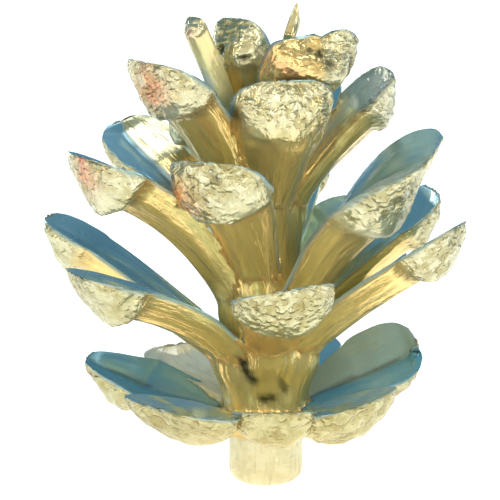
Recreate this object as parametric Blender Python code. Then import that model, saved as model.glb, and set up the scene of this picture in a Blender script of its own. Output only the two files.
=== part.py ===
"""Pinecone finial, a single brass casting.

A round foot and a tapering core carry open scales in a spiral. Each scale is a wedge that leaves
the core steeply, arches outwards and swells into a thick end, with a trough along its upper face
and a lip where the thick end meets the neck.

Frame: metres, +Z up, origin at the middle of the foot's flat underside. The side with the wide
flat scale low on its right faces -Y.
"""

import math
from dataclasses import dataclass

import bmesh
import bpy
from mathutils import Vector

MM = 0.001

# The foot, in millimetres
FOOT_RADIUS = 4.85
FOOT_HEIGHT = 6.4
FOOT_ROUNDING = 1.9
FOOT_ARC_STEPS = 4

# The core above the foot: (radius, height) from the foot to its top, in millimetres
CORE_PROFILE = ((5.3, 8.0), (5.3, 16.0), (4.6, 28.0), (3.6, 40.0), (2.6, 50.0), (1.5, 57.0))
CORE_SEGMENTS = 20

# Every scale, in millimetres
ROOT_RADIUS = 1.2
ROOT_HALF_WIDTH = 2.6
ROOT_DEPTH = 3.4
END_LENGTH_PER_WIDTH = 0.58
MOST_END_SHARE = 0.42
HANDLE_SHARE = 0.36
TROUGH_PER_WIDTH = 0.07
NECK_STATIONS = 4
PATH_SAMPLES = 48

# Stations of the swollen end: (distance from the tip, half-width, depth), the first in end
# lengths and the others as shares of the scale's own half-width and depth
END_STATIONS = (
    (0.00, 0.50, 0.14),
    (0.10, 0.74, 0.34),
    (0.30, 0.93, 0.66),
    (0.60, 1.00, 0.96),
    (0.95, 0.97, 1.00),
    (1.05, 0.86, 0.80),
)
NECK_SWELL = 0.92

# A section's underside runs round in this many equal steps
UNDERSIDE_STEPS = 8

BRASS_COLOUR = (0.60, 0.46, 0.14, 1.0)
BRASS_ROUGHNESS = 0.3


@dataclass(frozen=True)
class Scale:
    """One scale: where it leaves the core, where its tip is, and how it is turned."""

    name: str
    azimuth: float  # degrees from +X, anticlockwise from above
    root: float  # height on the core's axis
    reach: float  # tip's distance from the axis
    height: float  # tip's height
    width: float = 13.0
    depth: float = 5.0
    leave: float = 62.0  # rise at the root, in degrees
    land: float = 22.0  # rise at the tip, in degrees
    roll: float = 0.0  # degrees; positive lifts the anticlockwise side at the tip
    blunt: float = 1.0  # 0 for a pointed tip, 1 for a broad one
    end: float = 0.0  # length of the swollen end, worked out from the width where it is 0


SCALES = (
    # lowest ring
    Scale("front_low", -86.0, 8.5, 20.0, 14.4, 10.5, 4.4, 25.0, 12.0),
    Scale("left_front_low", -124.0, 8.6, 24.2, 15.0, 15.0, 4.4, 25.0, 10.0, -5.0),
    Scale("left_low", 168.0, 8.6, 24.0, 15.4, 14.0, 4.8, 16.0, 16.0, -10.0, blunt=0.45),
    Scale("back_left_low", 122.0, 9.0, 23.0, 13.6, 14.0, 4.6, 25.0, 10.0),
    Scale("back_low", 80.0, 9.0, 23.5, 14.4, 14.0, 4.6, 25.0, 10.0),
    Scale("right_low", 8.0, 9.0, 20.0, 17.8, 14.6, 5.0, 30.0, 16.0, 20.0),
    Scale("back_right_low", 42.0, 9.0, 20.0, 13.2, 13.5, 4.6, 25.0, 10.0),
    Scale("right_front_low", -51.0, 8.8, 20.8, 14.9, 14.0, 5.0, 25.0, 12.0, 8.0),
    # second ring
    Scale("left_second", -150.0, 14.5, 27.4, 30.6, 13.0, 5.2, 60.0, 12.0),
    Scale("front_second", -83.0, 17.5, 21.5, 30.4, 13.0, 5.0, 45.0, 14.0, 8.0),
    Scale("right_second", -22.0, 16.0, 26.2, 36.2, 12.5, 4.5, 52.0, 32.0),
    Scale("back_right_second", 48.0, 15.0, 23.5, 28.0, 13.0, 4.8, 50.0, 20.0),
    Scale("back_second", 107.0, 17.0, 24.5, 31.5, 13.0, 4.8, 50.0, 20.0),
    Scale("back_left_second", 165.0, 16.2, 29.4, 34.0, 12.5, 4.8, 30.0, 24.0, 6.0),
    # third ring
    Scale("left_third", -150.0, 21.0, 26.8, 45.7, 13.0, 5.9, 68.0, 14.0, end=6.6),
    Scale("front_third", -113.0, 25.0, 18.6, 45.6, 13.0, 5.4, 68.0, 30.0),
    Scale("right_third", -30.0, 21.0, 23.8, 45.9, 15.5, 7.4, 66.0, 6.0, 23.0, end=14.6),
    Scale("right_back_third", 15.0, 19.5, 22.6, 37.8, 12.5, 4.8, 50.0, 36.0),
    Scale("back_right_third", 47.0, 22.0, 19.5, 35.0, 12.0, 4.6, 58.0, 22.0),
    Scale("back_third", 80.0, 24.0, 20.5, 41.0, 11.5, 4.8, 60.0, 28.0),
    Scale("back_left_third", 146.0, 26.0, 23.0, 45.8, 12.5, 4.6, 52.0, 34.0, -8.0),
    Scale("back_upper_third", 112.0, 30.0, 17.5, 46.0, 12.0, 4.6, 62.0, 36.0),
    # fourth ring
    Scale("left_fourth", -141.0, 32.0, 19.2, 57.4, 13.0, 5.1, 70.0, 22.0),
    Scale("left_back_fourth", 178.0, 32.0, 12.0, 51.5, 10.5, 4.2, 72.0, 38.0),
    Scale("front_fourth", -78.0, 36.0, 12.2, 55.0, 13.2, 5.4, 78.0, 44.0),
    Scale("right_fourth", 15.0, 36.0, 16.2, 54.0, 11.5, 5.2, 66.0, 40.0),
    Scale("back_right_fourth", 62.0, 37.0, 12.5, 53.0, 11.0, 4.0, 70.0, 48.0),
    Scale("back_left_fourth", 122.0, 39.0, 9.0, 54.0, 9.5, 3.8, 76.0, 56.0),
    # crown
    Scale("crown_left", -135.0, 32.0, 12.8, 62.6, 3.4, 2.2, 84.0, 60.0),
    Scale("crown_front", -125.0, 46.0, 6.6, 61.9, 9.2, 3.8, 84.0, 64.0, blunt=0.85),
    Scale("crown_right", -50.0, 44.0, 11.6, 61.2, 13.0, 5.0, 80.0, 44.0, -10.0),
    Scale("crown_back", 95.0, 45.0, 5.0, 57.0, 8.0, 3.2, 84.0, 70.0),
    Scale("crown_spike", -15.0, 54.0, 4.0, 63.4, 1.9, 1.3, 70.0, 62.0, blunt=0.1, end=5.0),
)


def path_point(scale, share):
    """The point and the rise of a scale's middle line, in the plane of (distance, height)."""
    start = Vector((ROOT_RADIUS, scale.root))
    end = Vector((scale.reach, scale.height))
    handle = HANDLE_SHARE * (end - start).length
    leave, land = math.radians(scale.leave), math.radians(scale.land)
    first = start + handle * Vector((math.cos(leave), math.sin(leave)))
    second = end - handle * Vector((math.cos(land), math.sin(land)))
    rest = 1 - share
    point = rest**3 * start + 3 * rest**2 * share * first + 3 * rest * share**2 * second
    point += share**3 * end
    slope = rest**2 * (first - start) + 2 * rest * share * (second - first) + share**2 * (end - second)
    return point, math.atan2(slope.y, slope.x)


def path_lengths(scale):
    """The distance run along the middle line at each of its equal samples."""
    lengths, last = [0.0], path_point(scale, 0.0)[0]
    for index in range(1, PATH_SAMPLES + 1):
        point = path_point(scale, index / PATH_SAMPLES)[0]
        lengths.append(lengths[-1] + (point - last).length)
        last = point
    return lengths


def share_at(lengths, distance):
    """The curve's share at a distance along it."""
    for index in range(1, len(lengths)):
        if lengths[index] >= distance:
            step = lengths[index] - lengths[index - 1]
            return (index - 1 + (distance - lengths[index - 1]) / step) / PATH_SAMPLES
    return 1.0


def stations(scale, length):
    """(distance along the middle line, half-width, depth) of each section, from root to tip."""
    end = min(scale.end or END_LENGTH_PER_WIDTH * scale.width, MOST_END_SHARE * length)
    half = scale.width / 2
    found = []
    neck_end, neck_width, neck_depth = END_STATIONS[-1]
    neck_length = length - neck_end * end
    for index in range(NECK_STATIONS):
        share = index / NECK_STATIONS
        half_width = ROOT_HALF_WIDTH + (neck_width * half - ROOT_HALF_WIDTH) * share**NECK_SWELL
        depth = ROOT_DEPTH + (neck_depth * scale.depth - ROOT_DEPTH) * share**NECK_SWELL
        found.append((share * neck_length, min(half_width, half), min(depth, scale.depth)))
    for distance, width_share, depth_share in reversed(END_STATIONS):
        tip = 1 - (1 - scale.blunt) * max(0.0, 1 - distance) ** 0.5
        found.append((length - distance * end, half * width_share * tip, scale.depth * depth_share))
    return found


def section(half_width, depth, trough):
    """A section's outline: a trough across the top and a half-round underside."""
    outline = [
        (half_width, 0.0),
        (0.5 * half_width, -0.62 * trough),
        (0.0, -trough),
        (-0.5 * half_width, -0.62 * trough),
        (-half_width, 0.0),
    ]
    for step in range(1, UNDERSIDE_STEPS):
        angle = math.pi * (1 + step / UNDERSIDE_STEPS)
        outline.append((half_width * math.cos(angle), depth * math.sin(angle)))
    return outline


def scale_mesh(scale):
    """One scale as a closed mesh in its place on the core."""
    azimuth = math.radians(scale.azimuth)
    out = Vector((math.cos(azimuth), math.sin(azimuth), 0))
    side = Vector((-math.sin(azimuth), math.cos(azimuth), 0))
    lengths = path_lengths(scale)
    length = lengths[-1]
    mesh = bmesh.new()
    rings = []
    for distance, half_width, depth in stations(scale, length):
        point, rise = path_point(scale, share_at(lengths, distance))
        up = -math.sin(rise) * out + math.cos(rise) * Vector((0, 0, 1))
        roll = math.radians(scale.roll) * (distance / length) ** 0.7
        across = math.cos(roll) * side + math.sin(roll) * up
        normal = -math.sin(roll) * side + math.cos(roll) * up
        middle = point.x * out + Vector((0, 0, point.y))
        trough = TROUGH_PER_WIDTH * 2 * half_width * min(1.0, depth / (0.4 * scale.depth))
        ring = [
            mesh.verts.new(MM * (middle + y * across + z * normal))
            for y, z in section(half_width, depth, trough)
        ]
        rings.append(ring)
    count = len(rings[0])
    for lower, upper in zip(rings, rings[1:]):
        for index in range(count):
            after = (index + 1) % count
            mesh.faces.new((lower[index], lower[after], upper[after], upper[index]))
    mesh.faces.new(rings[0])
    mesh.faces.new(rings[-1])
    bmesh.ops.recalc_face_normals(mesh, faces=mesh.faces)
    data = bpy.data.meshes.new(scale.name)
    mesh.to_mesh(data)
    mesh.free()
    return data


def core_profile():
    """The turned outline of foot and core, from the middle of the underside to the top."""
    flat = FOOT_RADIUS - FOOT_ROUNDING
    outline = [(0.0, 0.0)]
    for step in range(FOOT_ARC_STEPS + 1):
        angle = math.pi / 2 * step / FOOT_ARC_STEPS
        radius = flat + FOOT_ROUNDING * math.sin(angle)
        outline.append((radius, FOOT_ROUNDING * (1 - math.cos(angle))))
    outline.append((FOOT_RADIUS, FOOT_HEIGHT))
    outline.extend(CORE_PROFILE)
    outline.append((0.0, CORE_PROFILE[-1][1]))
    return outline


def core_mesh():
    """The foot and the core, turned about the axis."""
    mesh = bmesh.new()
    points = [mesh.verts.new((MM * radius, 0, MM * height)) for radius, height in core_profile()]
    edges = [mesh.edges.new(pair) for pair in zip(points, points[1:])]
    bmesh.ops.spin(
        mesh,
        geom=points + edges,
        cent=(0, 0, 0),
        axis=(0, 0, 1),
        angle=2 * math.pi,
        steps=CORE_SEGMENTS,
        use_merge=True,
    )
    bmesh.ops.remove_doubles(mesh, verts=mesh.verts, dist=1e-6)
    bmesh.ops.recalc_face_normals(mesh, faces=mesh.faces)
    data = bpy.data.meshes.new("pinecone_finial")
    mesh.to_mesh(data)
    mesh.free()
    return data


def brass():
    """The casting's metal."""
    material = bpy.data.materials.new("brass")
    material.use_nodes = True
    shader = material.node_tree.nodes["Principled BSDF"]
    shader.inputs["Base Color"].default_value = BRASS_COLOUR
    shader.inputs["Metallic"].default_value = 1.0
    shader.inputs["Roughness"].default_value = BRASS_ROUGHNESS
    return material


def main():
    """Builds the finial in an empty scene."""
    for old in list(bpy.data.objects):
        bpy.data.objects.remove(old)
    guides = bpy.data.collections.new("scales")
    bpy.context.scene.collection.children.link(guides)
    for scale in SCALES:
        guide = bpy.data.objects.new(scale.name, scale_mesh(scale))
        guide.hide_render = True
        guide.display_type = "WIRE"
        guides.objects.link(guide)
    finial = bpy.data.objects.new("pinecone_finial", core_mesh())
    bpy.context.scene.collection.objects.link(finial)
    finial.data.materials.append(brass())
    union = finial.modifiers.new("scales on core", "BOOLEAN")
    union.operation = "UNION"
    union.operand_type = "COLLECTION"
    union.collection = guides
    union.solver = "EXACT"
    finial.data.shade_smooth()


if __name__ == "__main__":
    main()
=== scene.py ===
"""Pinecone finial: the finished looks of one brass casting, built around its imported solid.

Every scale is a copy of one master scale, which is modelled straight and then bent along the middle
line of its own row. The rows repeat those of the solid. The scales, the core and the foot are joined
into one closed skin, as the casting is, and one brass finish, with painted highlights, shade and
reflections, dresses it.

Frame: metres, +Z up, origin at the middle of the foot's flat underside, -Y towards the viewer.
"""

import logging
import math
import random
from dataclasses import dataclass, field
from enum import Enum

import bpy
import numpy as np
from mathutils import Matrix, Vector
from mathutils.kdtree import KDTree


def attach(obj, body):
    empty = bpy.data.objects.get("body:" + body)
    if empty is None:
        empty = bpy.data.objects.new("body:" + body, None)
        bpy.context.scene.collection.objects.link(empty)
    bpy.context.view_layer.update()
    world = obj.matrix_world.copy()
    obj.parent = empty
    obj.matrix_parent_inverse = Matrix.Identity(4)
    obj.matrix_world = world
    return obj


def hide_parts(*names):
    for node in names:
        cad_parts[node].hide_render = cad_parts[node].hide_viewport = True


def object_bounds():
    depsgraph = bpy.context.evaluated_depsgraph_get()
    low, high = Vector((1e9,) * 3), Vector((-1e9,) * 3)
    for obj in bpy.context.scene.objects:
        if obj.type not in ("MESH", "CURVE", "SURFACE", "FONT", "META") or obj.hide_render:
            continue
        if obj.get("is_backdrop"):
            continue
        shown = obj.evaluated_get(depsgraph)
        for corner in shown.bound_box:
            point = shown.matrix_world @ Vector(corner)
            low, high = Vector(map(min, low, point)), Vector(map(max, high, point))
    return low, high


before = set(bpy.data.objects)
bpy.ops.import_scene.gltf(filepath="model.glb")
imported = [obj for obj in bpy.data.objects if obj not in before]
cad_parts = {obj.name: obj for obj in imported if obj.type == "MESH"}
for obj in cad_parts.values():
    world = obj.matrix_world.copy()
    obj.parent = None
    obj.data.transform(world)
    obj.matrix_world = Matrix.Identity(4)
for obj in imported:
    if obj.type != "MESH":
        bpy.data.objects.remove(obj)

MM = 0.001
NODE = "pinecone_finial"

Colour = tuple[float, float, float, float]
Pair = tuple[float, float]

log = logging.getLogger("finial")


def smooth_step(value: np.ndarray, low: float, high: float) -> np.ndarray:
    """Rises smoothly from 0 at low to 1 at high, and falls where high is the lower one."""
    share = np.clip((value - low) / (high - low), 0.0, 1.0)
    return share * share * (3.0 - 2.0 * share)


def bump_at(value: np.ndarray, middle: float, spread: float) -> np.ndarray:
    """A round bump of height 1 at middle."""
    return np.exp(-(((value - middle) / spread) ** 2))


def mixed(pair: Pair, share: np.ndarray) -> np.ndarray:
    """Goes from the first of a pair at share 0 to the second at share 1."""
    return pair[0] * (1 - share) + pair[1] * share


def curve_through(xs: np.ndarray, ys: np.ndarray, at: np.ndarray) -> np.ndarray:
    """Reads a smooth curve through points.

    Args:
        xs: Places of the points, rising.
        ys: Values at those places.
        at: Places to read, held to the range of xs.

    Returns:
        The curve's values.
    """
    slopes = np.gradient(ys, xs)
    left = np.clip(np.searchsorted(xs, at) - 1, 0, len(xs) - 2)
    step = xs[left + 1] - xs[left]
    t = np.clip((at - xs[left]) / step, 0.0, 1.0)
    value = (2 * t**3 - 3 * t**2 + 1) * ys[left] + (t**3 - 2 * t**2 + t) * step * slopes[left]
    return value + (3 * t**2 - 2 * t**3) * ys[left + 1] + (t**3 - t**2) * step * slopes[left + 1]


def points_of(data: bpy.types.Mesh) -> np.ndarray:
    """Reads a mesh's points.

    Args:
        data: The mesh.

    Returns:
        One row of X, Y and Z for each point, in the mesh's own units.
    """
    flat = np.empty(len(data.vertices) * 3)
    data.vertices.foreach_get("co", flat)
    return flat.reshape(-1, 3)


def put_points(data: bpy.types.Mesh, points: np.ndarray) -> None:
    """Writes a mesh's points, one row of X, Y and Z for each."""
    data.vertices.foreach_set("co", points.ravel())
    data.update()


class Mark(Enum):
    """A point attribute that the finish reads: name, kind, its value's name, numbers in it.

    ZONES holds rough, painted reflection tint, copper and pale; GRAIN runs along and round each neck;
    PAINTED_LIGHT holds
    the painted light: highlights, teal reflection and shade.
    """

    ZONES = ("zones", "FLOAT_COLOR", "color", 4)
    GRAIN = ("grain", "FLOAT_VECTOR", "vector", 3)
    PAINTED_LIGHT = ("painted_light", "FLOAT_COLOR", "color", 4)

    def write(self, data: bpy.types.Mesh, values: np.ndarray) -> None:
        """Stores the mark on a mesh.

        Args:
            data: The mesh.
            values: One row of numbers for each point.
        """
        name, kind, key, _ = self.value
        attribute = data.attributes.get(name) or data.attributes.new(name, kind, "POINT")
        attribute.data.foreach_set(key, values.astype(np.float32).ravel())

    def read(self, data: bpy.types.Mesh) -> np.ndarray:
        """Reads the mark of a mesh.

        Args:
            data: The mesh.

        Returns:
            One row of numbers for each point.
        """
        name, _, key, width = self.value
        flat = np.empty(len(data.vertices) * width, np.float32)
        data.attributes[name].data.foreach_get(key, flat)
        return flat.reshape(-1, width)


class Relief(Enum):
    """The two reliefs pressed into the scales, and the vertex weights that place them."""

    LUMPS = "lumps"
    CRINKLE = "crinkle"


@dataclass(frozen=True)
class ScaleForm:
    """What every scale shares, in millimetres and in shares of its own width and depth."""

    root_radius: float = 1.2
    root_half_width: float = 2.6
    root_depth: float = 3.4
    end_length_per_width: float = 0.58
    most_end_share: float = 0.42
    handle_share: float = 0.36
    line_steps: int = 97
    neck_swell: float = 0.92
    lip: float = 1.05
    # (distance from the tip in end lengths, half-width share, depth share)
    stations: tuple[tuple[float, float, float], ...] = (
        (0.00, 0.50, 0.14),
        (0.10, 0.74, 0.34),
        (0.30, 0.93, 0.66),
        (0.60, 1.00, 0.96),
        (0.95, 0.97, 1.00),
    )
    fold_width: float = 0.11
    fold_depth: float = 0.20


FORM = ScaleForm()


@dataclass(frozen=True)
class MiddleLine:
    """A scale's middle line: length run, distance from the axis, height and rise, at even steps."""

    run: np.ndarray
    out: np.ndarray
    up: np.ndarray
    rise: np.ndarray


@dataclass(frozen=True)
class Scale:
    """One scale: its place as in the solid, then how its end is finished.

    Pairs of shares are for the two halves of the upper face, clockwise and anticlockwise of the
    middle as seen from above. Places on a scale are across (-1 to 1) and from the tip, in lengths
    of the swollen end.
    """

    name: str
    azimuth: float
    root: float
    reach: float
    height: float
    width: float = 13.0
    depth: float = 5.0
    leave: float = 62.0
    land: float = 22.0
    roll: float = 0.0
    blunt: float = 1.0
    end: float = 0.0
    crinkle: float = 1.0
    boss: float = 0.5
    boss_at: float = 0.62
    copper: float = 0.0
    copper_at: Pair = (0.0, 0.1)
    fold: float = 0.75
    rough_to: float = 1.0
    pale: float = 0.0
    # these two pairs paint in the reflection of the blue surroundings: a cool tint, then teal
    reflection_tint: Pair = (1.0, 1.0)
    teal_reflection: Pair = (0.0, 0.0)
    over: Pair = (0.0, 0.0)
    bare: Pair = (0.0, 0.0)
    # painted highlights: (across, from the tip, spread across, spread along, strength)
    painted_highlight: tuple[tuple[float, float, float, float, float], ...] = ()
    # (across, spread across, depth in millimetres)
    notches: tuple[tuple[float, float, float], ...] = ()
    # (across, from the tip, spread across, spread along); each pit is pressed in and painted with shade
    pits: tuple[tuple[float, float, float, float], ...] = ()

    def line(self) -> MiddleLine:
        """Works out the arched middle line in the plane of (distance from the axis, height).

        Returns:
            The line, from the root inside the core to the tip.
        """
        start = np.array([FORM.root_radius, self.root])
        finish = np.array([self.reach, self.height])
        handle = FORM.handle_share * np.linalg.norm(finish - start)
        leave, land = math.radians(self.leave), math.radians(self.land)
        first = start + handle * np.array([math.cos(leave), math.sin(leave)])
        second = finish - handle * np.array([math.cos(land), math.sin(land)])
        t = np.linspace(0.0, 1.0, FORM.line_steps)[:, None]
        rest = 1 - t
        points = rest**3 * start + 3 * rest**2 * t * first + 3 * rest * t**2 * second + t**3 * finish
        slope = rest**2 * (first - start) + 2 * rest * t * (second - first) + t**2 * (finish - second)
        steps = np.linalg.norm(np.diff(points, axis=0), axis=1)
        run = np.concatenate([[0.0], np.cumsum(steps)])
        return MiddleLine(run, points[:, 0], points[:, 1], np.arctan2(slope[:, 1], slope[:, 0]))

    def end_length(self, length: float) -> float:
        """Length of the swollen end, in millimetres, for a scale of this length."""
        return min(self.end or FORM.end_length_per_width * self.width, FORM.most_end_share * length)


ROWS = (
    # rows may add painted highlights, painted reflection tints and pits painted with shade
    # lowest ring
    Scale("front_low", -86.0, 8.5, 20.0, 14.4, 10.5, 4.4, 25.0, 12.0),
    Scale("left_front_low", -124.0, 8.6, 24.2, 15.0, 15.0, 4.4, 25.0, 10.0, -5.0),
    Scale("left_low", 168.0, 8.6, 24.0, 15.4, 14.0, 4.8, 16.0, 16.0, -10.0, blunt=0.45,
          teal_reflection=(0.75, 0.9)),
    Scale("back_left_low", 122.0, 9.0, 23.0, 13.6, 14.0, 4.6, 25.0, 10.0, reflection_tint=(0.0, 0.0), pale=0.6,
          painted_highlight=((0.0, 0.0, 9.0, 9.0, 0.86),)),
    Scale("back_low", 80.0, 9.0, 23.5, 14.4, 14.0, 4.6, 25.0, 10.0),
    Scale("right_low", 8.0, 9.0, 20.0, 17.8, 14.6, 5.0, 30.0, 16.0, 20.0,
          reflection_tint=(1.0, 0.6), teal_reflection=(1.0, 0.5), notches=((-0.35, 0.08, 1.3), (-0.85, 0.1, 1.2))),
    Scale("back_right_low", 42.0, 9.0, 20.0, 13.2, 13.5, 4.6, 25.0, 10.0),
    Scale("right_front_low", -51.0, 8.8, 20.8, 14.9, 14.0, 5.0, 25.0, 12.0, 8.0),
    # second ring
    Scale("left_second", -150.0, 14.5, 27.4, 30.6, 13.0, 5.2, 60.0, 12.0),
    Scale("front_second", -83.0, 17.5, 21.5, 30.4, 13.0, 5.0, 45.0, 14.0, 8.0, crinkle=1.2),
    Scale("right_second", -22.0, 16.0, 26.2, 36.2, 12.5, 4.5, 52.0, 32.0),
    Scale("back_right_second", 48.0, 15.0, 23.5, 28.0, 13.0, 4.8, 50.0, 20.0),
    Scale("back_second", 107.0, 17.0, 24.5, 31.5, 13.0, 4.8, 50.0, 20.0),
    Scale("back_left_second", 165.0, 16.2, 29.4, 34.0, 12.5, 4.8, 30.0, 24.0, 6.0, teal_reflection=(0.4, 0.4)),
    # third ring
    Scale("left_third", -150.0, 21.0, 26.8, 45.7, 13.0, 5.9, 68.0, 14.0, end=6.6,
          copper=1.0, copper_at=(0.15, 0.0), fold=1.0),
    Scale("front_third", -113.0, 25.0, 18.6, 45.6, 13.0, 5.4, 68.0, 30.0, boss=0.7,
          copper=0.9, copper_at=(-0.8, 0.55), fold=0.9, pits=((0.25, 0.12, 0.06, 0.05),)),
    Scale("right_third", -30.0, 21.0, 23.8, 45.9, 15.5, 7.4, 66.0, 6.0, 23.0, end=14.6,
          over=(0.5, 0.0), teal_reflection=(0.2, 0.45), bare=(0.0, 0.85), boss=-0.6, boss_at=0.9,
          painted_highlight=((-0.6, 0.92, 0.3, 0.1, 0.8),)),
    Scale("right_back_third", 15.0, 19.5, 22.6, 37.8, 12.5, 4.8, 50.0, 36.0),
    Scale("back_right_third", 47.0, 22.0, 19.5, 35.0, 12.0, 4.6, 58.0, 22.0),
    Scale("back_third", 80.0, 24.0, 20.5, 41.0, 11.5, 4.8, 60.0, 28.0),
    Scale("back_left_third", 146.0, 26.0, 23.0, 45.8, 12.5, 4.6, 52.0, 34.0, -8.0, reflection_tint=(0.0, 1.0),
          teal_reflection=(0.0, 0.45)),
    Scale("back_upper_third", 112.0, 30.0, 17.5, 46.0, 12.0, 4.6, 62.0, 36.0),
    # fourth ring
    Scale("left_fourth", -141.0, 32.0, 19.2, 57.4, 13.0, 5.1, 70.0, 22.0, boss=0.55,
          copper=1.0, copper_at=(0.0, 0.25)),
    Scale("left_back_fourth", 178.0, 32.0, 12.0, 51.5, 10.5, 4.2, 72.0, 38.0),
    Scale("front_fourth", -78.0, 36.0, 12.2, 55.0, 13.2, 5.4, 78.0, 44.0, crinkle=1.1, boss=-0.9,
          fold=0.0, rough_to=0.8, pits=((-0.92, 0.6, 0.1, 0.25),)),
    Scale("right_fourth", 15.0, 36.0, 16.2, 54.0, 11.5, 5.2, 66.0, 40.0, reflection_tint=(0.3, 0.45),
          over=(1.0, 0.35), painted_highlight=((-0.35, 0.35, 0.6, 0.55, 0.95), (0.3, 0.2, 0.35, 0.3, 0.8))),
    Scale("back_right_fourth", 62.0, 37.0, 12.5, 53.0, 11.0, 4.0, 70.0, 48.0),
    Scale("back_left_fourth", 122.0, 39.0, 9.0, 54.0, 9.5, 3.8, 76.0, 56.0),
    # crown
    Scale("crown_left", -135.0, 32.0, 12.8, 62.6, 3.4, 2.2, 84.0, 60.0, copper=0.7,
          copper_at=(0.1, 0.6), fold=0.0, pale=0.2, reflection_tint=(0.0, 0.0),
          painted_highlight=((0.0, 4.4, 1.6, 3.4, 1.0), (-0.5, 9.0, 0.45, 3.4, 0.95), (0.5, 9.2, 0.45, 3.4, 0.95))),
    Scale("crown_front", -125.0, 46.0, 6.6, 61.9, 9.2, 3.8, 84.0, 64.0, blunt=0.85, crinkle=0.8,
          fold=0.2, pits=((-0.3, 0.5, 0.12, 0.1), (0.5, 0.7, 0.15, 0.1))),
    Scale("crown_right", -50.0, 44.0, 11.6, 61.2, 13.0, 5.0, 80.0, 44.0, -10.0, crinkle=1.2,
          bare=(0.85, 0.0), copper=0.5, copper_at=(-0.75, 0.75), fold=0.1,
          notches=((-1.0, 0.9, 1.9), (0.05, 0.35, 1.1)),
          pits=((-0.08, 0.2, 0.16, 0.09), (0.14, 0.34, 0.12, 0.12), (-0.35, 0.16, 0.12, 0.05),
                (0.7, 0.5, 0.07, 0.2), (0.45, 0.5, 0.07, 0.07), (-0.1, 0.75, 0.4, 0.05))),
    Scale("crown_back", 95.0, 45.0, 5.0, 57.0, 8.0, 3.2, 84.0, 70.0),
    Scale("crown_spike", -15.0, 54.0, 4.0, 63.4, 1.9, 1.3, 70.0, 62.0, blunt=0.1, end=5.0,
          crinkle=0.0, fold=0.0, pale=0.5, reflection_tint=(0.3, 0.3)),
)


@dataclass
class MasterScale:
    """The straight scale that every other is copied from: X 0 root, 1 lip, 2 tip; Y and Z within 1."""

    around: int = 36
    neck_rings: int = 15
    end_rings: int = 14
    nose_insets: tuple[float, ...] = (0.35, 0.3)
    nose_step: float = 0.01
    name: str = "master_scale"

    def build(self) -> bpy.types.Object:
        """Models the master: a flattened round drawn out along X, its end cut finer, its tip closed.

        Returns:
            The master's object.
        """
        bpy.ops.object.select_all(action="DESELECT")
        bpy.ops.mesh.primitive_circle_add(vertices=self.around, radius=1.0, fill_type="NGON")
        master = bpy.context.active_object
        master.name = self.name
        bpy.ops.transform.rotate(value=math.pi / 2, orient_axis="Y", center_override=(0, 0, 0))
        bpy.ops.object.transform_apply(location=True, rotation=True, scale=True)
        bpy.ops.object.mode_set(mode="EDIT")
        bpy.ops.mesh.select_all(action="SELECT")
        for rings in (self.neck_rings, self.end_rings):
            for _ in range(rings):
                bpy.ops.mesh.extrude_region_move(TRANSFORM_OT_translate={"value": (1.0 / rings, 0, 0)})
        for inset in self.nose_insets:
            bpy.ops.mesh.inset(thickness=inset)
            bpy.ops.transform.translate(value=(self.nose_step, 0, 0))
        bpy.ops.mesh.poke()
        self.refine_end(master)
        bpy.ops.mesh.select_all(action="SELECT")
        bpy.ops.mesh.normals_make_consistent(inside=False)
        bpy.ops.object.mode_set(mode="OBJECT")
        return master

    def refine_end(self, master: bpy.types.Object) -> None:
        """Cuts every face beyond the lip into four.

        Args:
            master: The master, in edit mode.
        """
        bpy.ops.object.mode_set(mode="OBJECT")
        for face in master.data.polygons:
            face.select = 1.0 < face.center.x < 2.0
        bpy.ops.object.mode_set(mode="EDIT")
        bpy.ops.mesh.subdivide(number_cuts=1, smoothness=0.0)


@dataclass
class Surface:
    """The points of one scale: its neck's length, then arrays with one value a point."""

    neck: float
    x: np.ndarray
    y: np.ndarray
    z: np.ndarray
    angle: np.ndarray
    top: np.ndarray
    distance: np.ndarray
    from_tip: np.ndarray
    boss: np.ndarray
    hollow: np.ndarray


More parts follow.
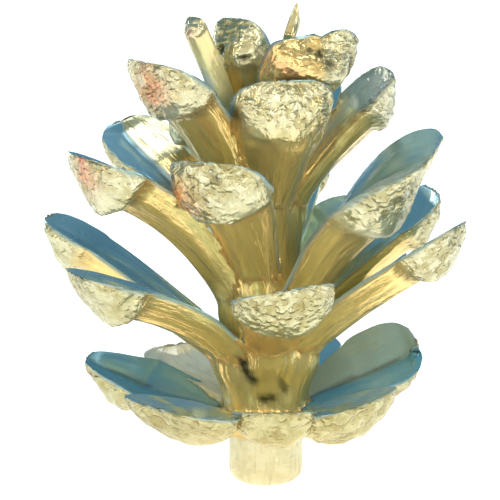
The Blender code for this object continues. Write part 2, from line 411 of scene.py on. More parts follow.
@dataclass
class ScaleMaker:
    """Bends copies of the master into the scales of the rows, with their relief."""

    master: bpy.types.Object
    usual_half_width: float = 6.5
    usual_width: float = 12.0
    trough_per_width: float = 0.105
    trough_bulge: float = 1.15
    trough_fade_depth: float = 0.4
    valley_depth: float = 0.22
    valley_wander: float = 0.22
    # (across from the valley's own place, spread, share of its depth)
    valleys: tuple[tuple[float, float, float], ...] = (
        (0.0, 0.14, 1.0),
        (0.45, 0.2, -0.5),
        (-0.5, 0.18, -0.4),
    )
    ridge_depth: float = 0.035
    # (waves round the neck, strength)
    ridge_waves: tuple[tuple[int, float], ...] = ((5, 0.9), (8, 0.8), (13, 0.5))
    ridge_drift: float = 2.0
    groove: tuple[float, float, float] = (1.1, 0.7, 0.16)
    boss_height: float = 0.35
    boss_spread: Pair = (0.45, 0.3)
    boss_wear: float = 0.85
    bare_wear: float = 0.7
    pit_depth: float = 0.5
    lump_depth: float = 0.65
    lump_size: float = 2.4
    least_lump: float = 0.1
    crinkle_depth: float = 0.5
    crinkle_size: float = 1.25
    relief_level: float = 0.55
    copper_spread: Pair = (0.5, 0.3)
    edge_blur: float = 0.08
    soft_edge_blur: float = 0.3
    middle_blur: float = 0.12
    rim_reflection_tint: float = 0.6
    valley_line: float = 0.07

    def build(self, rows: tuple[Scale, ...]) -> list[bpy.types.Object]:
        """Makes every scale of the rows.

        Args:
            rows: The scales to make.

        Returns:
            One closed mesh object for each, in its place.
        """
        textures = self.textures()
        made = []
        for number, row in enumerate(rows):
            data = self.master.data.copy()
            data.name = row.name
            piece = bpy.data.objects.new(row.name, data)
            bpy.context.scene.collection.objects.link(piece)
            self.bend(piece, row, random.Random(number))
            self.press_relief(piece, textures)
            made.append(piece)
        return made

    def textures(self) -> dict[Relief, bpy.types.Texture]:
        """Makes the two procedural reliefs: soft lumps and pitted crinkle.

        Returns:
            The texture of each relief.
        """
        lumps = bpy.data.textures.new(Relief.LUMPS.value, "CLOUDS")
        lumps.noise_scale = self.lump_size * MM
        lumps.noise_depth = 2
        crinkle = bpy.data.textures.new(Relief.CRINKLE.value, "VORONOI")
        crinkle.noise_scale = self.crinkle_size * MM
        crinkle.distance_metric = "DISTANCE"
        return {Relief.LUMPS: lumps, Relief.CRINKLE: crinkle}

    def bend(self, piece: bpy.types.Object, row: Scale, dice: random.Random) -> None:
        """Moves a copy's points from the master's space to the scale's place, and marks them.

        Args:
            piece: The copy.
            row: The scale's row.
            dice: The scale's own random numbers, for its ridges, valley and grain.
        """
        line = row.line()
        skin = self.surface(piece, row, line.run[-1])
        wide, deep = self.girth(row, skin)
        on_neck = smooth_step(skin.from_tip, 0.7, 1.15) * smooth_step(skin.distance, 2.0, 6.0)
        swell = 1 + self.ridges(skin, dice) * self.ridge_depth * on_neck
        side = skin.y * wide * np.where(skin.top, 1.0, swell)
        valley_at = dice.uniform(-self.valley_wander, self.valley_wander)
        lift = np.where(skin.top, self.dip(row, skin, wide, deep, valley_at), skin.z * deep * swell)
        lift += np.sign(skin.z) * skin.boss * self.boss_height * np.abs(skin.z)
        lift += self.pit_depth * skin.hollow
        for across, spread, cut in row.notches:
            near_tip = smooth_step(skin.from_tip, 0.5, 0.0)
            skin.distance = skin.distance - cut * bump_at(skin.y, across, spread) * near_tip
        self.set_place(piece, row, line, skin.distance, side, lift)
        self.mark(piece, row, skin, valley_at, dice.uniform(0, 90))

    def surface(self, piece: bpy.types.Object, row: Scale, length: float) -> Surface:
        """Works out where each point of a copy lies on its scale.

        Args:
            piece: The copy, still straight.
            row: The scale's row.
            length: The scale's length, in millimetres.

        Returns:
            The points, with the scale's boss and pits.
        """
        x, y, z = points_of(piece.data).T
        top = z > -1e-6
        end = row.end_length(length)
        neck = length - FORM.lip * end
        distance = np.where(x < 1, x * neck, neck + (x - 1) * FORM.lip * end)
        from_tip = (length - distance) / end
        spread_across, spread_along = self.boss_spread
        boss = bump_at(y, row.boss, spread_across) * bump_at(from_tip, row.boss_at, spread_along)
        hollow = np.zeros_like(y)
        for across, along, wide, tall in row.pits:
            hollow = np.maximum(hollow, bump_at(y, across, wide) * bump_at(from_tip, along, tall))
        below = np.where(top, 0.0, 1.0)
        angle = np.arctan2(z, y)
        return Surface(neck, x, y, z, angle, top, distance, from_tip, boss * below, hollow * below)

    def girth(self, row: Scale, skin: Surface) -> tuple[np.ndarray, np.ndarray]:
        """Works out how wide and deep the scale is at each point.

        Args:
            row: The scale's row.
            skin: The scale's points.

        Returns:
            Half-width and depth, in millimetres.
        """
        last = FORM.stations[-1]
        crease = (FORM.lip, last[1] - FORM.fold_width * row.fold, last[2] - FORM.fold_depth * row.fold)
        from_tip, widths, depths = np.array((*FORM.stations, crease)).T
        half = row.width / 2
        grow = np.clip(skin.distance / skin.neck, 0.0, 1.0) ** FORM.neck_swell
        neck_wide = FORM.root_half_width + (crease[1] * half - FORM.root_half_width) * grow
        neck_deep = FORM.root_depth + (crease[2] * row.depth - FORM.root_depth) * grow
        tip = 1 - (1 - row.blunt) * np.sqrt(np.clip(1 - skin.from_tip, 0.0, 1.0))
        end_wide = half * curve_through(from_tip, widths, skin.from_tip) * tip
        end_deep = row.depth * curve_through(from_tip, depths, skin.from_tip)
        wide = np.where(skin.x < 1, np.minimum(neck_wide, half), end_wide)
        deep = np.where(skin.x < 1, np.minimum(neck_deep, row.depth), end_deep)
        return wide, deep

    def dip(
        self, row: Scale, skin: Surface, wide: np.ndarray, deep: np.ndarray, valley_at: float
    ) -> np.ndarray:
        """Works out the upper face: a trough with a valley and a swelling on each side of it.

        Args:
            row: The scale's row.
            skin: The scale's points.
            wide: Half-width at each point.
            deep: Depth at each point.
            valley_at: The valley's place across.

        Returns:
            Height of each point above the scale's edges, in millimetres.
        """
        fade_depth = self.trough_fade_depth * row.depth
        trough = self.trough_per_width * 2 * wide * np.minimum(1.0, deep / fade_depth)
        valley = np.zeros_like(skin.y)
        for aside, spread, share in self.valleys:
            valley += share * self.valley_depth * bump_at(skin.y, valley_at + aside, spread)
        fade = smooth_step(skin.from_tip, 0.0, 0.5) * smooth_step(np.abs(skin.y), 1.0, 0.8)
        valley = valley * fade * (row.width / 2) / self.usual_half_width
        return -trough * (1 - np.abs(skin.y) ** self.trough_bulge) - valley

    def ridges(self, skin: Surface, dice: random.Random) -> np.ndarray:
        """Fine ridges that run along a scale's neck, and one deeper groove.

        Args:
            skin: The scale's points.
            dice: The scale's own random numbers.

        Returns:
            Height of the ridges at each point, mostly between -1 and 1.
        """
        total = np.zeros_like(skin.angle)
        for waves, strength in self.ridge_waves:
            drift = dice.uniform(-self.ridge_drift, self.ridge_drift)
            total += strength * np.cos(waves * skin.angle + dice.uniform(0, math.tau) + drift * skin.x)
        depth, wander, spread = self.groove
        return total - depth * bump_at(skin.angle, -math.pi / 2 + dice.uniform(-wander, wander), spread)

    def set_place(
        self,
        piece: bpy.types.Object,
        row: Scale,
        line: MiddleLine,
        distance: np.ndarray,
        side: np.ndarray,
        lift: np.ndarray,
    ) -> None:
        """Writes the points' final places, in metres.

        Args:
            piece: The copy.
            row: The scale's row.
            line: The scale's middle line.
            distance: How far along the line each point lies.
            side: How far it lies to the side.
            lift: How far it lies above.
        """
        past = np.maximum(0.0, distance - line.run[-1])
        rise = np.interp(distance, line.run, line.rise)
        radius = np.interp(distance, line.run, line.out) + past * np.cos(rise)
        height = np.interp(distance, line.run, line.up) + past * np.sin(rise)
        azimuth = math.radians(row.azimuth)
        out = np.array([math.cos(azimuth), math.sin(azimuth), 0.0])
        across = np.array([-math.sin(azimuth), math.cos(azimuth), 0.0])
        up = np.array([0.0, 0.0, 1.0])
        roll = math.radians(row.roll) * np.clip(distance / line.run[-1], 0.0, 1.0) ** 0.7
        normal = np.cos(rise)[:, None] * up - np.sin(rise)[:, None] * out
        level = np.cos(roll)[:, None] * across + np.sin(roll)[:, None] * normal
        raised = np.cos(roll)[:, None] * normal - np.sin(roll)[:, None] * across
        points = radius[:, None] * out + height[:, None] * up
        points += side[:, None] * level + lift[:, None] * raised
        put_points(piece.data, points * MM)

    def mark(
        self, piece: bpy.types.Object, row: Scale, skin: Surface, valley_at: float, grain_at: float
    ) -> None:
        """Stores where the scale is rough, coppery or pale, where highlights, reflections and shade are
        painted on it, and how its grain runs.

        Args:
            piece: The scale.
            row: Its row.
            skin: Its points.
            valley_at: The valley's place across.
            grain_at: The grain's own place in its pattern, so that no two scales match.
        """
        y, top, from_tip = skin.y, skin.top, skin.from_tip
        spread = self.edge_blur + self.soft_edge_blur * (1 - row.fold)
        on_end = smooth_step(from_tip, row.rough_to + spread, row.rough_to - 1.6 * spread)
        sides = smooth_step(y, -self.middle_blur, self.middle_blur)
        over, bare = mixed(row.over, sides), mixed(row.bare, sides)
        under = np.where(top, over, 1.0)
        rough = on_end * under * (1 - self.boss_wear * np.clip(skin.boss, 0, 1))
        rough = rough * row.crinkle * (1 - self.bare_wear * bare)
        small = min(1.0, (row.width / self.usual_width) ** 2)
        lumpy = self.least_lump + (1 - self.least_lump) * on_end * under
        for relief, values in ((Relief.CRINKLE, rough * small), (Relief.LUMPS, lumpy * small)):
            group = piece.vertex_groups.new(name=relief.value)
            for index, value in enumerate(np.clip(values, 0.0, 1.0)):
                group.add([index], float(value), "REPLACE")

        # painted reflection of the blue surroundings: a tint on the upper face and along the underside's
        # rims, and teal where the row asks
        rim = smooth_step(np.abs(np.sin(skin.angle)), 0.2, 0.0) * smooth_step(from_tip, 1.0, 0.6)
        reflection_tint = mixed(row.reflection_tint, sides) * (1 - over)
        reflection_tint = np.where(top, reflection_tint, self.rim_reflection_tint * reflection_tint.max() * rim)
        teal_reflection = np.where(top, mixed(row.teal_reflection, sides), rim * reflection_tint)
        copper = row.copper * bump_at(y, row.copper_at[0], self.copper_spread[0])
        copper = copper * bump_at(from_tip, row.copper_at[1], self.copper_spread[1])
        pale = np.maximum(on_end * (1 - bare), row.pale)
        zones = np.stack([np.clip(rough, 0, 1), reflection_tint, copper, pale], axis=1)

        # painted highlights, where the row lists them
        bright = np.zeros_like(y)
        for across, along, wide, tall, strength in row.painted_highlight:
            spot = strength * bump_at(y, across, wide) * bump_at(from_tip, along, tall)
            bright = np.maximum(bright, spot)
        # painted shade along the upper face's valley, in the crease under the lip and in the pits
        valley = bump_at(y, valley_at, self.valley_line) * smooth_step(from_tip, 0.1, 0.5)
        valley = np.where(top, 0.7 * valley * max(row.teal_reflection), 0.0)
        crease = np.where(top, 0.0, 0.3 * row.fold * bump_at(from_tip, FORM.lip + 0.03, 0.05))
        painted_shade = np.maximum(np.maximum(valley, crease), skin.hollow)
        grain = [skin.distance, skin.angle * row.width / 4, np.full_like(y, grain_at)]
        Mark.ZONES.write(piece.data, zones)
        Mark.GRAIN.write(piece.data, np.stack(grain, axis=1))
        Mark.PAINTED_LIGHT.write(piece.data, np.stack([bright, teal_reflection, painted_shade, np.ones_like(y)], axis=1))

    def press_relief(self, piece: bpy.types.Object, textures: dict[Relief, bpy.types.Texture]) -> None:
        """Presses the lumps and the pitted crinkle into a scale's surface.

        Args:
            piece: The scale.
            textures: The texture of each relief.
        """
        bpy.context.view_layer.objects.active = piece
        for relief, depth in ((Relief.LUMPS, self.lump_depth), (Relief.CRINKLE, self.crinkle_depth)):
            press = piece.modifiers.new(relief.value, "DISPLACE")
            press.texture = textures[relief]
            press.texture_coords = "LOCAL"
            press.vertex_group = relief.value
            press.strength = depth * MM
            press.mid_level = self.relief_level
            bpy.ops.object.modifier_apply(modifier=press.name)


@dataclass
class FootAndCore:
    """The turned foot and core, in millimetres."""

    foot_radius: float = 4.85
    foot_height: float = 6.4
    foot_rounding: float = 1.9
    arc_steps: int = 6
    # (radius, height) from the foot to the core's top
    core_profile: tuple[Pair, ...] = (
        (5.3, 8.0), (5.3, 16.0), (4.6, 28.0), (3.6, 40.0), (2.6, 50.0), (1.5, 57.0),
    )
    segments: int = 72
    row_step: float = 0.55
    flare: float = 2.4
    flare_fall: float = 2.6
    flare_top: float = 3.0
    flare_spread: float = 30.0
    # the pockets lean by this many degrees for each millimetre of height
    pocket_lean: float = 5.0
    # (azimuth in degrees, height, spread in degrees, spread in height, depth)
    pockets: tuple[tuple[float, float, float, float, float], ...] = (
        (-112.0, 15.8, 12.0, 2.0, 0.8),
        (-94.0, 12.2, 13.0, 1.0, 1.0),
        (-66.0, 14.0, 8.0, 1.6, 1.2),
        (40.0, 15.0, 15.0, 2.0, 1.0),
        (110.0, 14.5, 15.0, 2.0, 1.0),
    )
    pocket_shade: float = 0.7
    foot_rough: float = 0.25
    foot_reflection_tint: float = 0.16
    foot_pale: float = 0.9
    foot_painted_highlight: float = 0.2

    def outline(self) -> list[Pair]:
        """Works out the profile that is spun.

        Returns:
            Radius and height, from the middle of the underside to the middle of the top.
        """
        flat, rounding = self.foot_radius - self.foot_rounding, self.foot_rounding
        points = [(0.0, 0.0)]
        for step in range(self.arc_steps + 1):
            angle = math.pi / 2 * step / self.arc_steps
            points.append((flat + rounding * math.sin(angle), rounding * (1 - math.cos(angle))))
        corners = [points[-1], (self.foot_radius, self.foot_height), *self.core_profile]
        for low, high in zip(corners, corners[1:]):
            rows = max(1, round((high[1] - low[1]) / self.row_step))
            for row in range(1, rows + 1):
                share = row / rows
                radius = low[0] + (high[0] - low[0]) * share
                points.append((radius, low[1] + (high[1] - low[1]) * share))
        points.append((0.0, self.core_profile[-1][1]))
        return points

    def build(self) -> bpy.types.Object:
        """Spins the profile round, closes it, works its surface and marks it.

        Returns:
            The foot and core's object.
        """
        outline = self.outline()
        data = bpy.data.meshes.new("foot_and_core")
        vertices = [(MM * radius, 0.0, MM * height) for radius, height in outline]
        data.from_pydata(vertices, [(i, i + 1) for i in range(len(vertices) - 1)], [])
        core = bpy.data.objects.new("foot_and_core", data)
        bpy.context.scene.collection.objects.link(core)
        bpy.ops.object.select_all(action="DESELECT")
        bpy.context.view_layer.objects.active = core
        core.select_set(True)
        bpy.ops.object.mode_set(mode="EDIT")
        bpy.ops.mesh.select_all(action="SELECT")
        bpy.ops.mesh.spin(steps=self.segments, angle=math.tau, center=(0, 0, 0), axis=(0, 0, 1))
        bpy.ops.mesh.select_all(action="SELECT")
        bpy.ops.mesh.remove_doubles(threshold=1e-6)
        bpy.ops.mesh.normals_make_consistent(inside=False)
        bpy.ops.object.mode_set(mode="OBJECT")
        x, y, z = points_of(data).T / MM
        radius, azimuth = np.hypot(x, y), np.degrees(np.arctan2(y, x))
        hollow = self.hollows(azimuth, z)
        grown = self.swellings(azimuth, z) - hollow
        grown = grown * smooth_step(z, self.foot_height, self.core_profile[0][1] + 1.0) * (radius > 1.0)
        share = 1 + grown / np.maximum(radius, 1.0)
        put_points(data, np.stack([x * share, y * share, z], axis=1) * MM)
        self.mark(data, z, azimuth, hollow)
        return core

    def swellings(self, azimuth: np.ndarray, height: np.ndarray) -> np.ndarray:
        """Works out the swellings below each neck's root.

        Args:
            azimuth: The points' azimuths in degrees.
            height: Their heights.

        Returns:
            How far each point moves outwards.
        """
        grown = np.zeros_like(height)
        for row in ROWS:
            line = row.line()
            own = np.interp(row.root, *np.array(self.core_profile)[:, ::-1].T)
            leaves = np.searchsorted(line.out, own)
            under = line.up[leaves] - FORM.root_depth / max(0.3, math.cos(line.rise[leaves]))
            if under < self.core_profile[0][1] + 3.0:
                continue
            apart = (azimuth - row.azimuth + 180.0) % 360.0 - 180.0
            below = np.minimum(0.0, height - under)
            above = np.maximum(0.0, height - under - 2.0)
            swell = np.exp(below / self.flare_fall) * np.exp(-((above / self.flare_top) ** 2))
            reach = self.flare * own / self.core_profile[0][0]
            grown = np.maximum(grown, reach * swell * bump_at(apart, 0.0, self.flare_spread))
        return grown

    def hollows(self, azimuth: np.ndarray, height: np.ndarray) -> np.ndarray:
        """Works out the pockets between the roots.

        Args:
            azimuth: The points' azimuths in degrees.
            height: Their heights.

        Returns:
            How far each point moves inwards.
        """
        hollow = np.zeros_like(height)
        for at, middle, wide, tall, depth in self.pockets:
            apart = (azimuth - at + 180.0) % 360.0 - 180.0
            slant = apart + self.pocket_lean * (height - middle)
            hollow = np.maximum(hollow, depth * bump_at(slant, 0.0, wide) * bump_at(height, middle, tall))
        return hollow

    def mark(
        self, data: bpy.types.Mesh, height: np.ndarray, azimuth: np.ndarray, hollow: np.ndarray
    ) -> None:
        """Stores the pale, worked foot with its painted reflection tint and highlight, and the painted
        shade in the pockets.

        Args:
            data: The mesh.
            height: The points' heights.
            azimuth: Their azimuths in degrees.
            hollow: How deep each lies in a pocket.
        """
        foot = smooth_step(height, self.foot_height + 1.0, self.foot_height)
        # the foot gets a painted reflection tint and a painted highlight; the pockets get painted shade
        zones = [self.foot_rough * foot, self.foot_reflection_tint * foot, 0 * foot, self.foot_pale * foot]
        grain = [height, np.radians(azimuth) * self.foot_radius, 0 * height]
        painted_shade = self.pocket_shade * smooth_step(hollow, 0.4, 1.0)
        painted_light = [self.foot_painted_highlight * foot, 0 * foot, painted_shade, 1 + 0 * foot]
        for mark, values in ((Mark.ZONES, zones), (Mark.GRAIN, grain), (Mark.PAINTED_LIGHT, painted_light)):
            mark.write(data, np.stack(values, axis=1))


class Keeper:
    """The parts' marks, kept over the union and given back by the nearest point."""

    def __init__(self, parts: list[bpy.types.Object]) -> None:
        """Takes down the marks of the parts and where their points are.

        Args:
            parts: Every part that goes into the union.
        """
        self.kept = {mark: np.concatenate([mark.read(part.data) for part in parts]) for mark in Mark}
        places = np.concatenate([points_of(part.data) for part in parts])
        self.tree = KDTree(len(places))
        for index, place in enumerate(places):
            self.tree.insert(place, index)
        self.tree.balance()

    def give_back(self, joined: bpy.types.Object) -> None:
        """Writes the marks onto the joined skin.

        Args:
            joined: The skin.
        """
        nearest = [self.tree.find(place)[1] for place in points_of(joined.data)]
        for mark, kept in self.kept.items():
            mark.write(joined.data, kept[nearest])


@dataclass
class Casting:
    """The whole finial: scales, core and foot in one skin."""

    rows: tuple[Scale, ...] = ROWS
    core: FootAndCore = field(default_factory=FootAndCore)
    root_reach: Pair = (7.0, 10.5)
    # the roots' rounding fades in over the first heights and out over the last
    root_heights: tuple[float, float, float, float] = (7.0, 9.0, 50.0, 56.0)
    root_rounds: int = 24
    spot_reach: float = 2.8
    # painted highlights: (x, y, z, spread across, spread up, strength)
    painted_glints: tuple[tuple[float, float, float, float, float, float], ...] = (
        (-5.4, -4.4, 25.2, 0.7, 1.7, 1.0),
        (-4.9, -3.1, 11.4, 1.3, 1.7, 1.0),
        (-2.6, -5.2, 24.0, 0.5, 2.2, 0.5),
        (1.4, -5.2, 21.0, 0.4, 1.6, 0.5),
        (2.9, -4.6, 12.2, 0.6, 1.1, 0.6),
        (9.5, -1.6, 45.6, 0.5, 0.9, 1.0),
        (10.2, -0.2, 47.4, 0.6, 0.9, 1.0),
        (10.9, 2.6, 48.4, 0.6, 0.9, 1.0),
        (11.6, 4.6, 49.4, 0.5, 0.9, 1.0),
    )
    # painted shade in the hollows, the same way
    hollows: tuple[tuple[float, float, float, float, float, float], ...] = (
        (-3.0, -4.8, 17.4, 0.3, 0.9, 0.9),
        (-2.6, -5.2, 16.4, 0.5, 0.9, 1.3),
        (-2.2, -5.3, 15.6, 0.6, 0.8, 1.3),
        (-1.6, -5.5, 14.8, 0.6, 0.6, 1.2),
        (-0.2, -5.6, 12.3, 0.7, 0.5, 1.3),
        (0.7, -5.5, 12.5, 0.7, 0.5, 1.2),
    )
    name: str = "pinecone_casting"

    def build(self) -> bpy.types.Object:
        """Models the parts and joins them.

        Returns:
            The casting's object, with its marks.
        """
        master = MasterScale().build()
        scales = ScaleMaker(master).build(self.rows)
        bpy.data.objects.remove(master)
        casting = self.core.build()
        casting.name = self.name
        self.join(casting, scales)
        log.info("%s: %d faces", casting.name, len(casting.data.polygons))
        return casting

    def join(self, casting: bpy.types.Object, scales: list[bpy.types.Object]) -> None:
        """Unites the scales with the core.

        Args:
            casting: The foot and core, which becomes the whole casting.
            scales: The scales, which are used up.
        """
        keeper = Keeper([casting, *scales])
        guides = bpy.data.collections.new("scales")
        bpy.context.scene.collection.children.link(guides)
        for scale in scales:
            bpy.context.scene.collection.objects.unlink(scale)
            guides.objects.link(scale)
        union = casting.modifiers.new("scales on core", "BOOLEAN")
        union.operation = "UNION"
        union.operand_type = "COLLECTION"
        union.collection = guides
        union.solver = "MANIFOLD"
        bpy.context.view_layer.objects.active = casting
        bpy.ops.object.modifier_apply(modifier=union.name)
        for scale in scales:
            bpy.data.objects.remove(scale)
        bpy.data.collections.remove(guides)
        keeper.give_back(casting)
        self.paint_spots(casting)
        self.round_roots(casting)

    def paint_spots(self, casting: bpy.types.Object) -> None:
        """Paints the highlight spots and the shade spots on the joined skin.

        Args:
            casting: The joined skin.
        """
        across, back, up = points_of(casting.data).T / MM
        painted_light = Mark.PAINTED_LIGHT.read(casting.data)
        for channel, spots in ((0, self.painted_glints), (2, self.hollows)):
            for x, y, z, wide, tall, strength in spots:
                near = smooth_step(np.abs(back - y), self.spot_reach, 0.6 * self.spot_reach)
                spot = strength * bump_at(across, x, wide) * bump_at(up, z, tall) * near
                painted_light[:, channel] = np.clip(np.maximum(painted_light[:, channel], spot), 0.0, 1.0)
        Mark.PAINTED_LIGHT.write(casting.data, painted_light)

    def round_roots(self, casting: bpy.types.Object) -> None:
        """Rounds the inner corners where the scales leave the core, as a casting has them.

        Args:
            casting: The joined skin.
        """
        x, y, z = points_of(casting.data).T / MM
        inner, outer = self.root_reach
        start, full, fading, stop = self.root_heights
        near = smooth_step(np.hypot(x, y), outer, inner) * smooth_step(z, start, full)
        near = near * smooth_step(z, stop, fading)
        group = casting.vertex_groups.new(name="roots")
        for index in np.flatnonzero(near > 0.0):
            group.add([int(index)], float(near[index]), "REPLACE")
        soften = casting.modifiers.new("rounded roots", "SMOOTH")
        soften.factor = 0.5
        soften.iterations = self.root_rounds
        soften.vertex_group = group.name
        bpy.ops.object.modifier_apply(modifier=soften.name)


class Socket:
    """One shader output that takes ordinary arithmetic."""

    def __init__(self, maker: "NodeMaker", output: bpy.types.NodeSocket) -> None:
        """Keeps the output and the maker of further nodes."""
        self.maker = maker
        self.output = output

    def _math(self, operation: str, first: object, second: object) -> "Socket":
        """Adds a Math node."""
        return self.maker.node("ShaderNodeMath", {0: first, 1: second}, operation=operation)

    def __add__(self, other: object) -> "Socket":
        """Adds another value."""
        return self._math("ADD", self, other)

    def __radd__(self, other: object) -> "Socket":
        """Is added to another value."""
        return self._math("ADD", other, self)

    def __sub__(self, other: object) -> "Socket":
        """Takes another value away."""
        return self._math("SUBTRACT", self, other)

    def __rsub__(self, other: object) -> "Socket":
        """Is taken away from another value."""
        return self._math("SUBTRACT", other, self)

    def __mul__(self, other: object) -> "Socket":
        """Multiplies by another value."""
        return self._math("MULTIPLY", self, other)

    def __rmul__(self, other: object) -> "Socket":
        """Multiplies another value."""
        return self._math("MULTIPLY", other, self)

    def ramp(self, low: float, high: float) -> "Socket":
        """Rises smoothly from 0 at low to 1 at high."""
        inputs = {"Value": self, "From Min": low, "From Max": high}
        return self.maker.node("ShaderNodeMapRange", inputs, interpolation_type="SMOOTHSTEP")

    def beside(self, name: int | str) -> "Socket":
        """Hands over another output of the same node."""
        return Socket(self.maker, self.output.node.outputs[name])


class NodeMaker:
    """Makes the nodes of one material."""

    def __init__(self, tree: bpy.types.NodeTree) -> None:
        """Keeps the tree that the nodes go into."""
        self.tree = tree

    def node(self, kind: str, inputs: dict | None = None, out: int | str = 0, **settings: object) -> Socket:
        """Adds a node.

        Args:
            kind: The node's type name.
            inputs: Values or sockets by input index or name.
            out: The output to hand back.
            **settings: Properties of the node.

        Returns:
            The chosen output.
        """
        made = self.tree.nodes.new(kind)
        for name, value in settings.items():
            setattr(made, name, value)
        self.feed(made, inputs or {})
        return Socket(self, made.outputs[out])

    def feed(self, node: bpy.types.Node, inputs: dict) -> None:
        """Sets or links a node's inputs.

        Args:
            node: The node.
            inputs: Values or sockets by input index or name.
        """
        for key, value in inputs.items():
            if isinstance(value, Socket):
                self.tree.links.new(value.output, node.inputs[key])
            else:
                node.inputs[key].default_value = value

    def blend(self, share: Socket | float, first: object, second: object) -> Socket:
        """Mixes two colours."""
        inputs = {0: share, 6: first, 7: second}
        return self.node("ShaderNodeMix", inputs, out=2, data_type="RGBA")

    def noise(self, place: Socket, scale: float, detail: float, **inputs: float) -> Socket:
        """Adds a noise pattern."""
        inputs = {"Vector": place, "Scale": scale, "Detail": detail, **inputs}
        return self.node("ShaderNodeTexNoise", inputs)

    def attribute(self, mark: Mark, out: str) -> Socket:
        """Reads a mark of the skin."""
        settings = {"attribute_name": mark.value[0], "attribute_type": "GEOMETRY"}
        return self.node("ShaderNodeAttribute", out=out, **settings)


@dataclass(frozen=True)
class SkinSockets:
    """The skin's marks and the patterns that the finish's colour and relief share."""

    rough: Socket
    reflection_tint: Socket
    copper: Socket
    pale: Socket
    painted_highlight: Socket
    teal_reflection: Socket
    painted_shade: Socket
    height: Socket
    streaks: Socket
    folds: Socket
    clouds: Socket
    patches: Socket
    specks: Socket
    wrinkles: Socket
    worked: Socket
    cold: Socket
    reflected_tint: Socket


